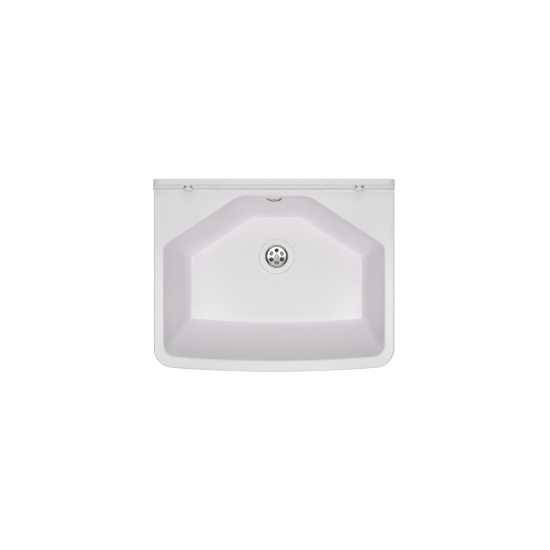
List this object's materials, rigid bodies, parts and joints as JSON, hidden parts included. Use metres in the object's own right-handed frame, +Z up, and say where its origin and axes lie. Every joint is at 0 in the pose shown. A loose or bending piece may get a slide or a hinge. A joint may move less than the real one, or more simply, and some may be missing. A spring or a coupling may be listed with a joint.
{
  "type": "kitchen sink",
  "caption": "Wall-hung kitchen sink with a tapered bowl, a deck with an upstand, capped wall fixings, a strainer waste and an overflow led to it by a ribbed hose.",
  "frame": {"origin": "middle of the upstand's wall face, at the level of the deck", "axes": "+X to the right along the wall as seen from the room, +Y into the wall, +Z up"},
  "size_m": [0.6, 0.477, 0.331],
  "materials": {
    "white_basin": "smooth white moulding, soft gloss",
    "white_plastic": "white injection moulding",
    "white_collar": "glossy white moulding",
    "grey_plastic": "off-white moulding, satin",
    "hose_plastic": "light grey corrugated tube",
    "seal_rubber": "dull black rubber",
    "polished_steel": "pressed and polished stainless steel",
    "clip_steel": "rolled stainless steel band",
    "turned_brass": "turned, threaded brass insert"
  },
  "bodies": {
    "sink": {"basin": "white_basin", "fixing_bushes": "white_plastic", "waste_collar": "white_collar", "collar_seal": "seal_rubber", "strainer_dish": "polished_steel", "strainer_screw": "polished_steel", "waste_body": "grey_plastic", "waste_insert": "turned_brass", "body_seal": "seal_rubber", "overflow_rosette": "polished_steel", "overflow_screw": "polished_steel", "overflow_elbow": "grey_plastic", "elbow_insert": "turned_brass", "elbow_gasket": "seal_rubber", "overflow_hose": "hose_plastic", "hose_clips": "clip_steel", "clip_screws": "clip_steel"},
    "left_cap": {"fixing_cap_left": "white_plastic"},
    "right_cap": {"fixing_cap_right": "white_plastic"}
  },
  "joints": [
    {"name": "left_cap_off", "type": "slide", "parent": "sink", "child": "left_cap", "axis": [0, -1, 0], "range_m": [0, 0.02]},
    {"name": "right_cap_off", "type": "slide", "parent": "sink", "child": "right_cap", "axis": [0, -1, 0], "range_m": [0, 0.02]}
  ]
}
